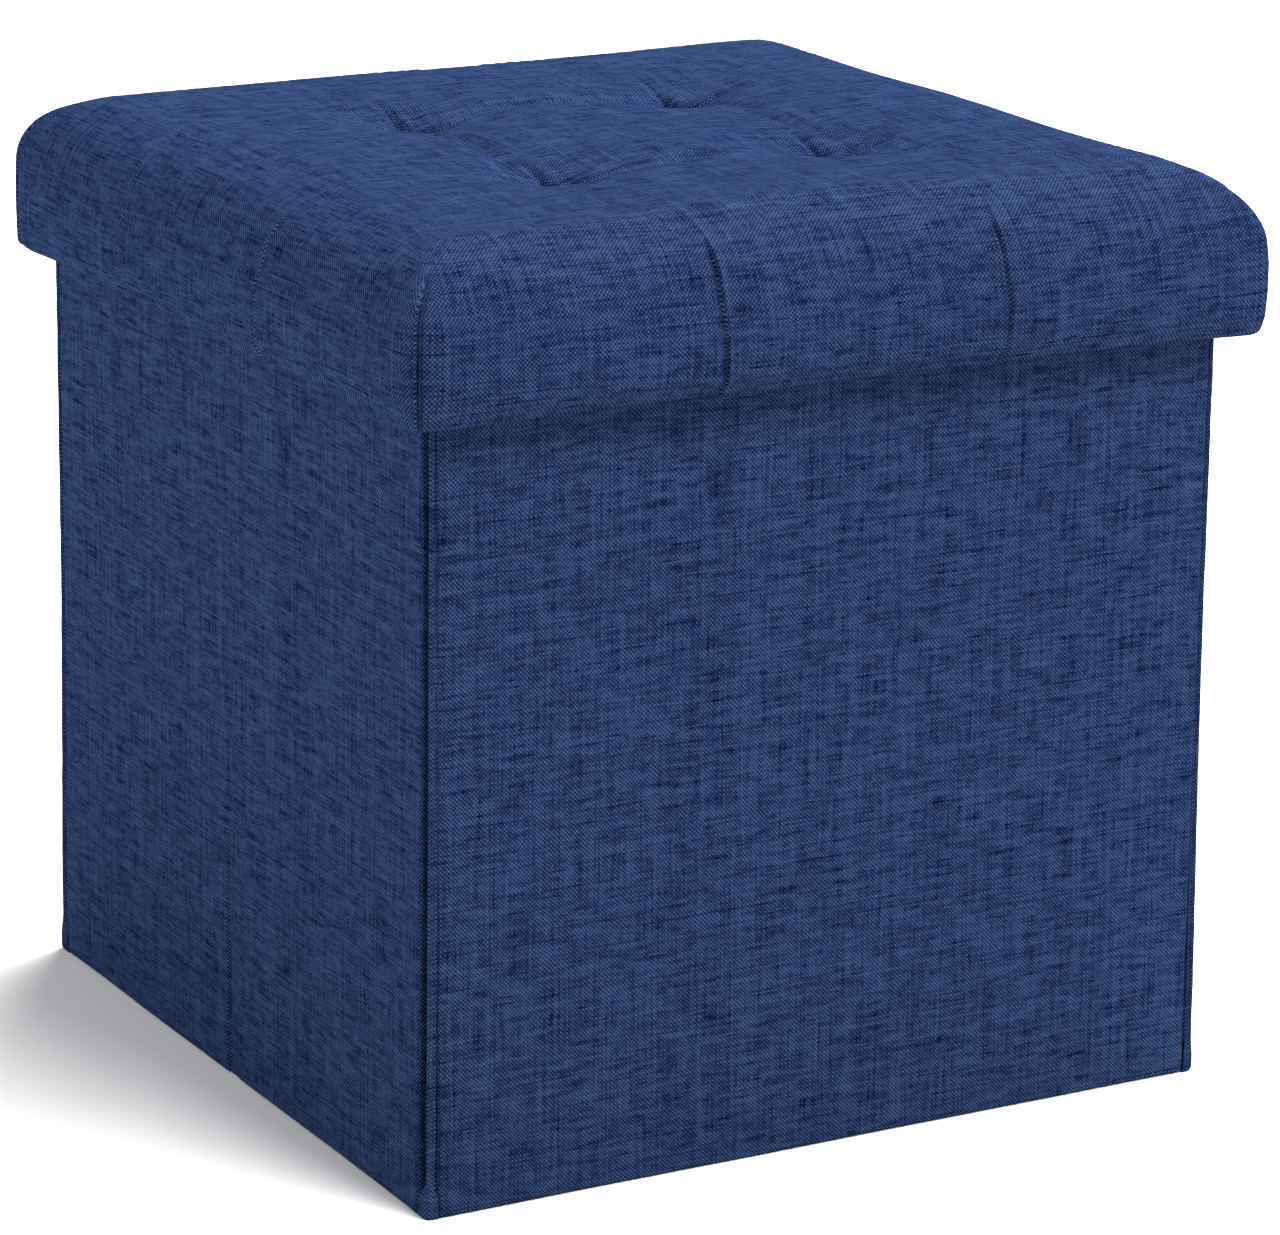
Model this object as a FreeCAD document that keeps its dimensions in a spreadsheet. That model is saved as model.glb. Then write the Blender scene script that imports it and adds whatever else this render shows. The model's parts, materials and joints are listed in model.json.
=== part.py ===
import FreeCAD, Part
import os

# A collapsible fabric storage bin with a lift-off padded lid, in millimetres.
# +Z is up, the front faces -Y, and the origin is the middle of the underside.
#
# Every wall is a board between an outer cover and an inner liner. The back wall stands still.
# Each side wall is two halves with a crease between them, and folds inwards at the crease while
# the front wall slides back, until all the walls lie flat in front of the back wall. The base
# flips up against the back wall first. The lid lifts straight off.

DIMENSIONS = {
    # overall
    "box_side": 372.0,
    "lid_side": 398.0,
    "overall_height": 400.0,
    # walls
    "wall_bottom": 6.0,
    "wall_top": 362.0,
    "skin": 0.8,
    "wall_board": 4.4,
    # fold: the corner hinge lines, measured in from the side faces and from the front or back face
    "pivot_inset": 8.0,
    "pivot_setback": 12.5,
    "crease_outset": 0.3,
    "crease_gap": 1.5,
    # the open notch along each upright corner
    "corner_notch": 4.0,
    "side_setback": 6.7,
    # sewn cloth hinges
    "bead_radius": 1.5,
    "tape_width": 22.0,
    "crease_bead_radius": 1.2,
    # base
    "base_board": 3.4,
    "base_side_inset": 10.2,
    "base_front_gap": 1.5,
    "base_axis_inset": 11.0,
    "base_axis_gap": 2.0,
    "base_tape_length": 300.0,
    "base_tape_height": 22.0,
    "tab_width": 25.0,
    "tab_length": 60.0,
    "tab_thickness": 0.8,
    "tab_setback": 18.0,
    # lid
    "lid_bottom": 334.0,
    "lid_wall": 8.0,
    "lid_gap": 0.3,
    "lid_board": 6.0,
    "board_inset": 3.0,
    "lid_corner_round": 8.0,
    "lid_edge_round": 27.0,
    # tufts that hold the cushion down in four places
    "tuft_spacing": 132.6,
    "tuft_depth": 13.0,
    "tuft_mouth": 24.0,
    "tuft_floor": 4.0,
    "thread_radius": 1.0,
    "stitch_radius": 2.6,
    "stitch_height": 1.2,
    "washer_radius": 9.0,
    "washer_thickness": 1.0,
    # staples that hold the lining of the lid
    "staple_width": 10.0,
    "staple_wire": 0.6,
    "staple_crown": 0.4,
    "staple_leg": 3.5,
    "staple_height": 346.0,
    "staple_pitch": 72.0,
}
SIDES = {"left": -1, "right": 1}
STAPLES_PER_SIDE = 5

HALF = "dims.box_side / 2"
WALL = "(dims.wall_board + 2 * dims.skin)"
BASE_THICKNESS = "(dims.base_board + 2 * dims.skin)"
LID_CEILING = "(dims.wall_top + dims.lid_gap)"
LID_BOARD_BOTTOM = "(dims.wall_top + dims.lid_gap + dims.skin)"
LID_BOARD_TOP = "(dims.wall_top + dims.lid_gap + dims.skin + dims.lid_board)"
LID_INSIDE = "(dims.lid_side / 2 - dims.lid_wall)"
HINGE_BOTTOM = "dims.wall_bottom + dims.skin"
HINGE_HEIGHT = "dims.wall_top - dims.wall_bottom - 2 * dims.skin"
HINGE_RANGE = (HINGE_BOTTOM, "dims.wall_top - dims.skin")
CLEAR = "10"

doc = FreeCAD.newDocument("fabric_storage_bin")
sub_parts = []


def make_sheet():
    """The spreadsheet that drives every size: one plain number and one alias per row."""
    sheet = doc.addObject("Spreadsheet::Sheet", "dims")
    for row, (alias, value) in enumerate(DIMENSIONS.items(), start=1):
        sheet.set(f"A{row}", alias)
        sheet.set(f"B{row}", str(value))
        sheet.setAlias(f"B{row}", alias)
    doc.recompute()
    return sheet


def sub_part(shape_object, name):
    """Name an object as one finished piece of the bin."""
    shape_object.Label = name
    sub_parts.append(shape_object)
    return shape_object


def bind(feature, expressions):
    """Tie properties of a feature to expressions on the spreadsheet."""
    for name, expression in expressions.items():
        feature.setExpression(name, expression)
    return feature


def block(name, x_range, y_range, z_range):
    """A box between the low and high expressions given for each axis."""
    box = doc.addObject("Part::Box", name)
    sizes = {}
    for size, axis, (low, high) in zip(("Length", "Width", "Height"), "xyz", (x_range, y_range, z_range)):
        sizes[size] = f"({high}) - ({low})"
        sizes[f"Placement.Base.{axis}"] = low
    return bind(box, sizes)


def cylinder(name, radius, length, x, y, z, along_x=False):
    """A cylinder that starts at the given place and runs along Z, or along X."""
    rod = doc.addObject("Part::Cylinder", name)
    if along_x:
        rod.Placement.Rotation = FreeCAD.Rotation(FreeCAD.Vector(0, 1, 0), 90)
    places = {"Placement.Base.x": x, "Placement.Base.y": y, "Placement.Base.z": z}
    return bind(rod, {"Radius": radius, "Height": length, **places})


def cut(name, base, tool):
    """base with tool taken away."""
    result = doc.addObject("Part::Cut", name)
    result.Base = base
    result.Tool = tool
    return result


def common(name, base, tool):
    """The space that base and tool share."""
    result = doc.addObject("Part::Common", name)
    result.Base = base
    result.Tool = tool
    return result


def fuse(name, shapes):
    """Several overlapping shapes as one solid."""
    result = doc.addObject("Part::MultiFuse", name)
    result.Shapes = shapes
    result.Refine = True
    return result


def group(name, shapes):
    """Several separate solids kept together."""
    result = doc.addObject("Part::Compound", name)
    result.Links = shapes
    return result


def ordered(side, near, far):
    """The low and high ends of a stretch whose ends are given outwards from the middle."""
    ends = (f"{side} * ({near})", f"{side} * ({far})")
    return ends if side > 0 else ends[::-1]


def layer(side, outer_depth, inner_depth):
    """The stretch between two depths measured inwards from the box's outer face on one side."""
    return ordered(side, f"{HALF} - ({inner_depth})", f"{HALF} - ({outer_depth})")


def wall(name, facing, side, along):
    """One stiff wall panel: a cover shaped like a shallow tray, the board in it, and the liner.

    facing is the axis that the panel's outer face looks along, side is which way, and along is
    the stretch that the panel covers on the other horizontal axis.
    """
    low, high = along
    inner_along = (f"({low}) + dims.skin", f"({high}) - dims.skin")
    full_height = ("dims.wall_bottom", "dims.wall_top")
    inner_height = ("dims.wall_bottom + dims.skin", "dims.wall_top - dims.skin")

    def panel_block(label, depths, stretch, height):
        across = layer(side, *depths)
        x_range, y_range = (across, stretch) if facing == "x" else (stretch, across)
        return block(label, x_range, y_range, height)

    board_inner = "dims.skin + dims.wall_board"
    tray = panel_block(f"{name}_tray", ("0", WALL), along, full_height)
    hollow = panel_block(f"{name}_hollow", ("dims.skin", f"{WALL} + {CLEAR}"), inner_along, inner_height)
    board = panel_block(f"{name}_board", ("dims.skin", board_inner), inner_along, inner_height)
    liner = panel_block(f"{name}_liner", (board_inner, WALL), inner_along, inner_height)
    sub_part(cut(f"{name}_cover", tray, hollow), f"{name}_cover")
    sub_part(board, f"{name}_board")
    sub_part(liner, f"{name}_liner")


def walls():
    """The back, the front and the two halves of each side."""
    between_notches = (f"-({HALF} - dims.corner_notch)", f"{HALF} - dims.corner_notch")
    rear_half = ("dims.crease_gap", f"{HALF} - dims.side_setback")
    front_half = (f"-({HALF} - dims.side_setback)", "-dims.crease_gap")
    wall("back", "y", 1, between_notches)
    wall("front", "y", -1, between_notches)
    for word, side in SIDES.items():
        wall(f"{word}_rear", "x", side, rear_half)
        wall(f"{word}_front", "x", side, front_half)


def corner_hinge(end_word, end, side_word, side):
    """The rolled cloth hinge of one upright corner, sewn to the front or the back wall."""
    name = f"{end_word}_{side_word}_hinge_tape"
    pivot_x = f"{side} * ({HALF} - dims.pivot_inset)"
    pivot_y = f"{end} * ({HALF} - dims.pivot_setback)"
    bead = cylinder(f"{name}_bead", "dims.bead_radius", HINGE_HEIGHT, pivot_x, pivot_y, HINGE_BOTTOM)
    web_x = ordered(
        side,
        f"{HALF} - dims.pivot_inset - dims.skin / 2",
        f"{HALF} - dims.pivot_inset + dims.skin / 2",
    )
    web_y = ordered(end, f"{HALF} - dims.pivot_setback", f"{HALF} - {WALL}")
    web = block(f"{name}_web", web_x, web_y, HINGE_RANGE)
    near = f"{HALF} - dims.pivot_inset - dims.tape_width"
    strip_x = ordered(side, near, f"{HALF} - dims.pivot_inset")
    strip = block(f"{name}_strip", strip_x, layer(end, WALL, f"{WALL} + dims.skin"), HINGE_RANGE)
    sub_part(fuse(name, [bead, web, strip]), name)


def crease_hinge(word, side):
    """The rolled seam in the gap between the two halves of a side wall."""
    name = f"{word}_crease_tape"
    axis_x = f"{side} * ({HALF} + dims.crease_outset)"
    radius = "dims.crease_bead_radius"
    roll = cylinder(f"{name}_roll", radius, HINGE_HEIGHT, axis_x, "0", HINGE_BOTTOM)
    inside = ordered(side, f"{HALF} - {CLEAR}", f"{HALF} + dims.crease_outset - 0.1")
    beside = (f"-{CLEAR}", CLEAR)
    keep = block(f"{name}_inner_half", inside, beside, HINGE_RANGE)
    sub_part(common(name, roll, keep), name)


def base():
    """The bottom panel, hinged along the foot of the back wall, with a ribbon to pull it up by."""
    width = (f"-({HALF} - dims.base_side_inset)", f"{HALF} - dims.base_side_inset")
    front_edge = f"-({HALF} - {WALL} - dims.base_front_gap)"
    rear_edge = f"{HALF} - dims.base_axis_inset - dims.base_axis_gap"
    inner_width = (f"{width[0]} + dims.skin", f"{width[1]} - dims.skin")
    inner_depth = (f"{front_edge} + dims.skin", f"{rear_edge} - dims.skin")
    board_top = "dims.skin + dims.base_board"
    tray = block("base_tray", width, (front_edge, rear_edge), ("0", BASE_THICKNESS))
    hollow = block("base_hollow", inner_width, inner_depth, ("dims.skin", CLEAR))
    sub_part(cut("base_cover", tray, hollow), "base_cover")
    sub_part(block("base_board", inner_width, inner_depth, ("dims.skin", board_top)), "base_board")
    sub_part(block("base_liner", inner_width, inner_depth, (board_top, BASE_THICKNESS)), "base_liner")
    tab_front = f"{front_edge} + dims.tab_setback"
    tab = block(
        "base_pull_tab",
        ("-dims.tab_width / 2", "dims.tab_width / 2"),
        (tab_front, f"{tab_front} + dims.tab_length"),
        (BASE_THICKNESS, f"{BASE_THICKNESS} + dims.tab_thickness"),
    )
    sub_part(tab, "base_pull_tab")


def base_hinge():
    """The rolled cloth hinge along the rear edge of the base, sewn to the back wall."""
    name = "base_hinge_tape"
    axis_y = f"{HALF} - dims.base_axis_inset"
    axis_z = f"{BASE_THICKNESS} / 2"
    start = "-dims.base_tape_length / 2"
    span = (start, "dims.base_tape_length / 2")
    length = "dims.base_tape_length"
    bead = cylinder(f"{name}_bead", "dims.bead_radius", length, start, axis_y, axis_z, along_x=True)
    web_z = (f"{axis_z} - dims.skin / 2", f"{axis_z} + dims.skin / 2")
    web = block(f"{name}_web", span, (axis_y, f"{HALF} - {WALL}"), web_z)
    strip_z = (web_z[0], "dims.base_tape_height")
    strip = block(f"{name}_strip", span, layer(1, WALL, f"{WALL} + dims.skin"), strip_z)
    sub_part(fuse(name, [bead, web, strip]), name)


def rounded_slab(name, inset, z_range, round_top):
    """A square slab inside the lid's outline, with round corners and, if asked, a round top edge.

    inset is the alias of the distance that it stays inside the outline, or None for no distance.
    """
    reach = f"dims.lid_side / 2 - dims.{inset}" if inset else "dims.lid_side / 2"
    inset_size = sheet.getPropertyByName(inset) if inset else 0.0
    square = (f"-({reach})", reach)
    blank = block(f"{name}_blank", square, square, z_range)
    doc.recompute()
    corner = sheet.lid_corner_round - inset_size
    corners = doc.addObject("Part::Fillet", f"{name}_corners")
    corners.Base = blank
    corners.Edges = [
        (index, corner, corner)
        for index, edge in enumerate(blank.Shape.Edges, start=1)
        if abs(edge.tangentAt(edge.FirstParameter).z) > 0.5
    ]
    doc.recompute()
    if not round_top:
        return corners
    top = corners.Shape.BoundBox.ZMax
    edge_round = sheet.lid_edge_round - inset_size
    crown = doc.addObject("Part::Fillet", f"{name}_crown")
    crown.Base = corners
    crown.Edges = [
        (index, edge_round, edge_round)
        for index, edge in enumerate(corners.Shape.Edges, start=1)
        if edge.BoundBox.ZMin > top - 0.01
    ]
    doc.recompute()
    return crown


def tuft_places():
    """The four tufts, as signs along X and Y."""
    return [(x, y) for x in (-1, 1) for y in (-1, 1)]


def tuft_cylinders(name, radius, bottom, height):
    """One upright cylinder at each tuft."""
    return [
        cylinder(
            f"{name}_{index}",
            radius,
            height,
            f"{x} * dims.tuft_spacing / 2",
            f"{y} * dims.tuft_spacing / 2",
            bottom,
        )
        for index, (x, y) in enumerate(tuft_places(), start=1)
    ]


def tuft_wells(name, top, margin):
    """One funnel at each tuft, which narrows from its mouth to its floor."""
    wells = []
    for index, (x, y) in enumerate(tuft_places(), start=1):
        well = doc.addObject("Part::Cone", f"{name}_{index}")
        sizes = {
            "Radius1": f"dims.tuft_floor + {margin}",
            "Radius2": f"dims.tuft_mouth + {margin}",
            "Height": "dims.tuft_depth",
            "Placement.Base.x": f"{x} * dims.tuft_spacing / 2",
            "Placement.Base.y": f"{y} * dims.tuft_spacing / 2",
            "Placement.Base.z": f"{top} - dims.tuft_depth",
        }
        wells.append(bind(well, sizes))
    return wells


def lid_cushion():
    """The lid's board, the foam on it with four wells, and the cover over both."""
    foam_top = "(dims.overall_height - dims.skin)"
    thread_length = "dims.overall_height"
    holes = tuft_cylinders("thread_hole", "dims.thread_radius", LID_BOARD_BOTTOM, thread_length)
    seats = tuft_cylinders("washer_seat", "dims.washer_radius", LID_BOARD_BOTTOM, "dims.washer_thickness")
    drilled = group("board_holes", holes + seats)
    plank = rounded_slab("lid_plank", "board_inset", (LID_BOARD_BOTTOM, LID_BOARD_TOP), False)
    sub_part(cut("lid_board", plank, drilled), "lid_board")

    foam = rounded_slab("lid_foam", "skin", (LID_BOARD_TOP, foam_top), True)
    foam_wells = tuft_wells("foam_well", foam_top, "dims.skin")
    foam_waste = fuse("foam_waste", foam_wells + tuft_cylinders(
        "foam_hole", "dims.thread_radius", LID_BOARD_BOTTOM, thread_length))
    sub_part(cut("lid_foam_pad", foam, foam_waste), "lid_foam_pad")

    outside = rounded_slab("lid_outside", None, ("dims.lid_bottom", "dims.overall_height"), True)
    cover_wells = tuft_wells("cover_well", "dims.overall_height", "0")
    cover_waste = fuse("cover_waste", cover_wells + tuft_cylinders(
        "cover_hole", "dims.thread_radius", LID_BOARD_BOTTOM, thread_length))
    dimpled = cut("lid_outside_dimpled", outside, cover_waste)
    filling = rounded_slab("lid_filling", "skin", ("dims.lid_bottom + dims.skin", foam_top), True)
    lining_wells = tuft_wells("filling_well", foam_top, "dims.skin")
    filled = cut("lid_filling_dimpled", filling, fuse("filling_waste", lining_wells))
    mouth_side = (f"-{LID_INSIDE}", LID_INSIDE)
    mouth = block("lid_mouth", mouth_side, mouth_side, (f"dims.lid_bottom - {CLEAR}", LID_BOARD_BOTTOM))
    shell = cut("lid_shell", dimpled, filled)
    sub_part(cut("lid_cover", shell, mouth), "lid_cover")


def lid_skirt():
    """The four stiff strips of the skirt, the wadding round them and the lining inside the lid."""
    reach = "dims.lid_side / 2 - dims.board_inset"
    inside = f"{LID_INSIDE} + dims.skin"
    height = ("dims.lid_bottom + dims.skin", LID_BOARD_BOTTOM)
    outline = rounded_slab("skirt_outline", "board_inset", height, False)
    full = (f"-({reach})", reach)
    between = (f"-({inside})", inside)
    strips = {
        "front": (full, ordered(-1, inside, reach)),
        "back": (full, ordered(1, inside, reach)),
        "left": (ordered(-1, inside, reach), between),
        "right": (ordered(1, inside, reach), between),
    }
    for word, (x_range, y_range) in strips.items():
        name = f"lid_skirt_{word}"
        strip = block(f"{name}_blank", x_range, y_range, height)
        sub_part(common(name, strip, outline), name)
    wrapped = rounded_slab("wadding_outside", "skin", (height[0], LID_BOARD_TOP), False)
    core = rounded_slab("wadding_inside", "board_inset", ("dims.lid_bottom", "dims.overall_height"), False)
    sub_part(cut("lid_skirt_wadding", wrapped, core), "lid_skirt_wadding")
    tray = block("lid_lining_tray", between, between, height)
    mouth_side = (f"-{LID_INSIDE}", LID_INSIDE)
    mouth = block("lid_lining_mouth", mouth_side, mouth_side, (f"dims.lid_bottom - {CLEAR}", LID_CEILING))
    sub_part(cut("lid_lining", tray, mouth), "lid_lining")


def tufts():
    """The threads that pull the cushion down, with their stitches, and the washers they hold on."""
    floor = "(dims.overall_height - dims.tuft_depth)"
    washer_top = f"({LID_BOARD_BOTTOM} + dims.washer_thickness)"
    threads = tuft_cylinders("thread", "dims.thread_radius", washer_top, f"{floor} - {washer_top}")
    stitches = tuft_cylinders("stitch", "dims.stitch_radius", floor, "dims.stitch_height")
    ties = [
        fuse(f"tuft_tie_{index}", list(pair))
        for index, pair in enumerate(zip(threads, stitches), start=1)
    ]
    sub_part(group("tuft_threads", ties), "tuft_threads")
    discs = tuft_cylinders("washer", "dims.washer_radius", LID_BOARD_BOTTOM, "dims.washer_thickness")
    sub_part(group("tuft_washers", discs), "tuft_washers")


def staples():
    """Staples through the lining into the skirt, evenly spaced along each of its four strips."""
    crown = f"({LID_INSIDE} - dims.staple_crown)"
    tips = f"({LID_INSIDE} + dims.staple_leg)"
    height = ("dims.staple_height", "dims.staple_height + dims.staple_wire")
    made = []
    for facing in "xy":
        for side in (-1, 1):
            for place in range(STAPLES_PER_SIDE):
                name = f"staple_{len(made) + 1}"
                middle = f"{place - (STAPLES_PER_SIDE - 1) / 2} * dims.staple_pitch"
                outer = (f"{middle} - dims.staple_width / 2", f"{middle} + dims.staple_width / 2")
                inner = (f"{outer[0]} + dims.staple_wire", f"{outer[1]} - dims.staple_wire")
                across = ordered(side, crown, tips)
                open_side = ordered(side, LID_INSIDE, f"{tips} + {CLEAR}")
                if facing == "x":
                    bar = block(f"{name}_bar", across, outer, height)
                    gap = block(f"{name}_gap", open_side, inner, height)
                else:
                    bar = block(f"{name}_bar", outer, across, height)
                    gap = block(f"{name}_gap", inner, open_side, height)
                made.append(cut(name, bar, gap))
    sub_part(group("lining_staples", made), "lining_staples")


def check_and_export():
    """Stop if anything failed to build, then write one STEP file for each sub-part."""
    doc.recompute()
    for feature in doc.Objects:
        if {"Invalid", "Error"} & set(feature.State):
            raise RuntimeError(f"{feature.Label} failed: {feature.State}")
    for piece in sub_parts:
        if piece.Shape.isNull() or not piece.Shape.isValid():
            raise RuntimeError(f"{piece.Label} has no valid shape")
    os.makedirs("parts", exist_ok=True)
    for piece in sub_parts:
        piece.Shape.exportStep(f"parts/{piece.Label}.step")
        print(f"{piece.Label}: {len(piece.Shape.Solids)} solids, {piece.Shape.Volume / 1000:.2f} cm3")


sheet = make_sheet()
walls()
for word, side in SIDES.items():
    corner_hinge("front", -1, word, side)
    corner_hinge("back", 1, word, side)
    crease_hinge(word, side)
base()
base_hinge()
lid_cushion()
lid_skirt()
tufts()
staples()
check_and_export()
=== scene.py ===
import json
import math

import bpy
import numpy as np
from mathutils import Matrix, Vector, kdtree, noise


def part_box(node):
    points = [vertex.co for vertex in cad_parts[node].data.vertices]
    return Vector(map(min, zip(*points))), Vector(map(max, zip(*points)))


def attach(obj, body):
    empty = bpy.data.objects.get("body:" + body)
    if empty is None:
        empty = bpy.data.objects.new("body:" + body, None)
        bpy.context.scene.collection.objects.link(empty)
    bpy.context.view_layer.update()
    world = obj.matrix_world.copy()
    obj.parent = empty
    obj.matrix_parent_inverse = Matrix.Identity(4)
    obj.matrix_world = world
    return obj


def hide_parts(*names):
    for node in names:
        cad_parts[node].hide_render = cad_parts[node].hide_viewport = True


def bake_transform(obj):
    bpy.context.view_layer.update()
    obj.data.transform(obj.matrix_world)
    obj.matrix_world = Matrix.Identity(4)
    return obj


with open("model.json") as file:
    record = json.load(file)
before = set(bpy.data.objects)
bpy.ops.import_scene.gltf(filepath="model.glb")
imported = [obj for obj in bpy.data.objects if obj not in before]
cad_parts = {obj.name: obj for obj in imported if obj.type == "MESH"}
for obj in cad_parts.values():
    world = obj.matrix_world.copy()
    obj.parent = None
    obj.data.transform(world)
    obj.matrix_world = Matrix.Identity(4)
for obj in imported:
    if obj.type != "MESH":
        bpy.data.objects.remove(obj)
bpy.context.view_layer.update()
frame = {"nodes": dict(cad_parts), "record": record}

# A folding fabric storage bin with a padded, tufted lid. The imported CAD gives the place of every
# piece; this script makes the cloth around it. Lengths are in metres.

MM = 0.001

# ---- sizes, read from the CAD ----

LID_LOW, LID_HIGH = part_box("lid_cover")
FRONT_LOW, FRONT_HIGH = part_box("front_cover")
BACK_LOW, BACK_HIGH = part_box("back_cover")
BASE_LOW, BASE_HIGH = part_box("base_cover")
LINING_LOW, LINING_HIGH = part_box("lid_lining")
BOX_HALF = BACK_HIGH.y
WALL_TOP = FRONT_HIGH.z
WALL = FRONT_HIGH.y - FRONT_LOW.y
CLOTH = 0.8 * MM
WASHERS_LOW, WASHERS_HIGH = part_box("tuft_washers")
TUFT = (WASHERS_HIGH.x + WASHERS_LOW.x) / 2 + 66.3 * MM
SIDES = {"left": -1, "right": 1}

# the two axes that lie in a face, by the axis that the face looks along
FLAT_AXES = {0: (1, 2), 1: (0, 2), 2: (0, 1)}


# ---- mesh helpers ----

def smooth(value):
    """0 below 0, 1 above 1, and a smooth step between."""
    value = np.clip(value, 0.0, 1.0)
    return value * value * (3 - 2 * value)


def bell(distance, width):
    """A bell curve: 1 at distance 0, and near 0 past twice the width."""
    return np.exp(-(distance / width) ** 2)


def cloth_noise(points, wavelength, seed):
    """Smooth noise from about -1 to 1 at each point."""
    shift = Vector((seed * 7.3, seed * 3.1, seed * 5.7))
    return np.array([noise.noise(Vector(p) / wavelength + shift) for p in points])


def new_object(name, verts, faces, uvs=None):
    """A smooth-shaded mesh object. uvs, if given, hold one pair per face corner, in metres."""
    mesh = bpy.data.meshes.new(name)
    mesh.from_pydata([tuple(v) for v in verts], [], [tuple(f) for f in faces])
    if uvs is not None:
        layer = mesh.uv_layers.new(name="cloth")
        layer.data.foreach_set("uv", np.asarray(uvs, np.float32).ravel())
    mesh.shade_smooth()
    mesh.update()
    piece = bpy.data.objects.new(name, mesh)
    bpy.context.scene.collection.objects.link(piece)
    return piece


def finish_piece(piece, body, material, replaced=()):
    """Give a piece its material and its body, and hide the CAD nodes that it stands for."""
    piece.data.materials.clear()
    piece.data.materials.append(material)
    if body:
        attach(piece, body)
    if replaced:
        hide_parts(*replaced)
    return piece


def grid_lines(low, high, step, edge, extra=()):
    """Positions from low to high about a step apart, closer near both ends and near each extra line.

    extra holds (place, reach, fine step) for stretches that need more lines.
    """
    places = [low, high]
    place = low
    while place < high:
        near_end = min(place - low, high - place)
        size = step if near_end > edge else edge / 4
        for middle, reach, fine in extra:
            if abs(place - middle) < reach:
                size = min(size, fine)
        place += size
        if place < high - edge / 8:
            places.append(place)
    return np.array(sorted(places))


def box_surface(xs, ys, zs):
    """The six gridded faces of a box as one closed mesh: points, quads and each quad's facing axis."""
    index, points, faces, facing = {}, [], [], []

    def vertex(i, j, k):
        key = (i, j, k)
        if key not in index:
            index[key] = len(points)
            points.append((xs[i], ys[j], zs[k]))
        return index[key]

    counts = (len(xs) - 1, len(ys) - 1, len(zs) - 1)
    for axis in (2, 1, 0):
        a, b = FLAT_AXES[axis]
        for end in (0, counts[axis]):
            backwards = (end == 0) == (axis != 1)
            for p, q in np.ndindex(counts[a], counts[b]):
                quad = []
                for step_a, step_b in ((0, 0), (1, 0), (1, 1), (0, 1)):
                    place = [end, end, end]
                    place[a], place[b] = p + step_a, q + step_b
                    quad.append(vertex(*place))
                faces.append(quad[::-1] if backwards else quad)
                facing.append(axis)
    return np.array(points), faces, facing


def cloth_uvs(points, faces, facing):
    """Flat cloth coordinates in metres for each face corner: threads run level and upright."""
    uvs = []
    for face, axis in zip(faces, facing):
        a, b = FLAT_AXES[axis]
        uvs += [(points[v][a], points[v][b]) for v in face]
    return uvs


def soft_slab(name, low, high, radius, step, shape=None, lines=((), (), ())):
    """A closed slab with rounded edges. lines holds any extra grid lines along each axis.

    shape, if given, moves the points: shape(points, outward).
    """
    low, high = np.array(low, float), np.array(high, float)
    axes = []
    for near, far, extra in zip(low, high, lines):
        third = (far - near) / 3
        axes.append(grid_lines(near, far, min(step, third), min(radius, third), extra))
    points, faces, facing = box_surface(*axes)
    uvs = cloth_uvs(points, faces, facing)
    core = np.clip(points, low + radius, high - radius)
    outward = points - core
    outward /= np.maximum(np.linalg.norm(outward, axis=1), 1e-9)[:, None]
    points = core + radius * outward
    if shape is not None:
        points = shape(points, outward)
    return new_object(name, points, faces, uvs)


def loft(rows, around):
    """The faces of a closed skin over rows of points, with a cap at each end."""
    faces = []
    for row in range(rows - 1):
        for k in range(around):
            a, b = row * around + k, row * around + (k + 1) % around
            faces.append((a, b, b + around, a + around))
    faces.append(tuple(range(around))[::-1])
    faces.append(tuple(range((rows - 1) * around, rows * around)))
    return faces


def grid_rim(count):
    """The places (i, j) round the rim of a square grid of points, in order."""
    last = count - 1
    rim = [(i, 0) for i in range(last)] + [(last, j) for j in range(last)]
    return rim + [(i, last) for i in range(last, 0, -1)] + [(0, j) for j in range(last, 0, -1)]


def tube(name, centres, radii, sides=12):
    """A closed tube along a list of centres, with its own radius at each."""
    centres = [Vector(c) for c in centres]
    verts = []
    for i, (centre, radius) in enumerate(zip(centres, radii)):
        ahead = centres[min(i + 1, len(centres) - 1)] - centres[max(i - 1, 0)]
        turn = ahead.to_track_quat("Z", "Y")
        for s in range(sides):
            angle = 2 * math.pi * s / sides
            verts.append(centre + turn @ Vector((radius * math.cos(angle), radius * math.sin(angle), 0)))
    return new_object(name, verts, loft(len(centres), sides))


def joined(name, parts):
    """Several mesh objects as one."""
    verts, faces = [], []
    for part in parts:
        start = len(verts)
        verts += [v.co.copy() for v in part.data.vertices]
        faces += [[start + v for v in f.vertices] for f in part.data.polygons]
        bpy.data.objects.remove(part)
    return new_object(name, verts, faces)


# ---- materials ----

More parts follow.
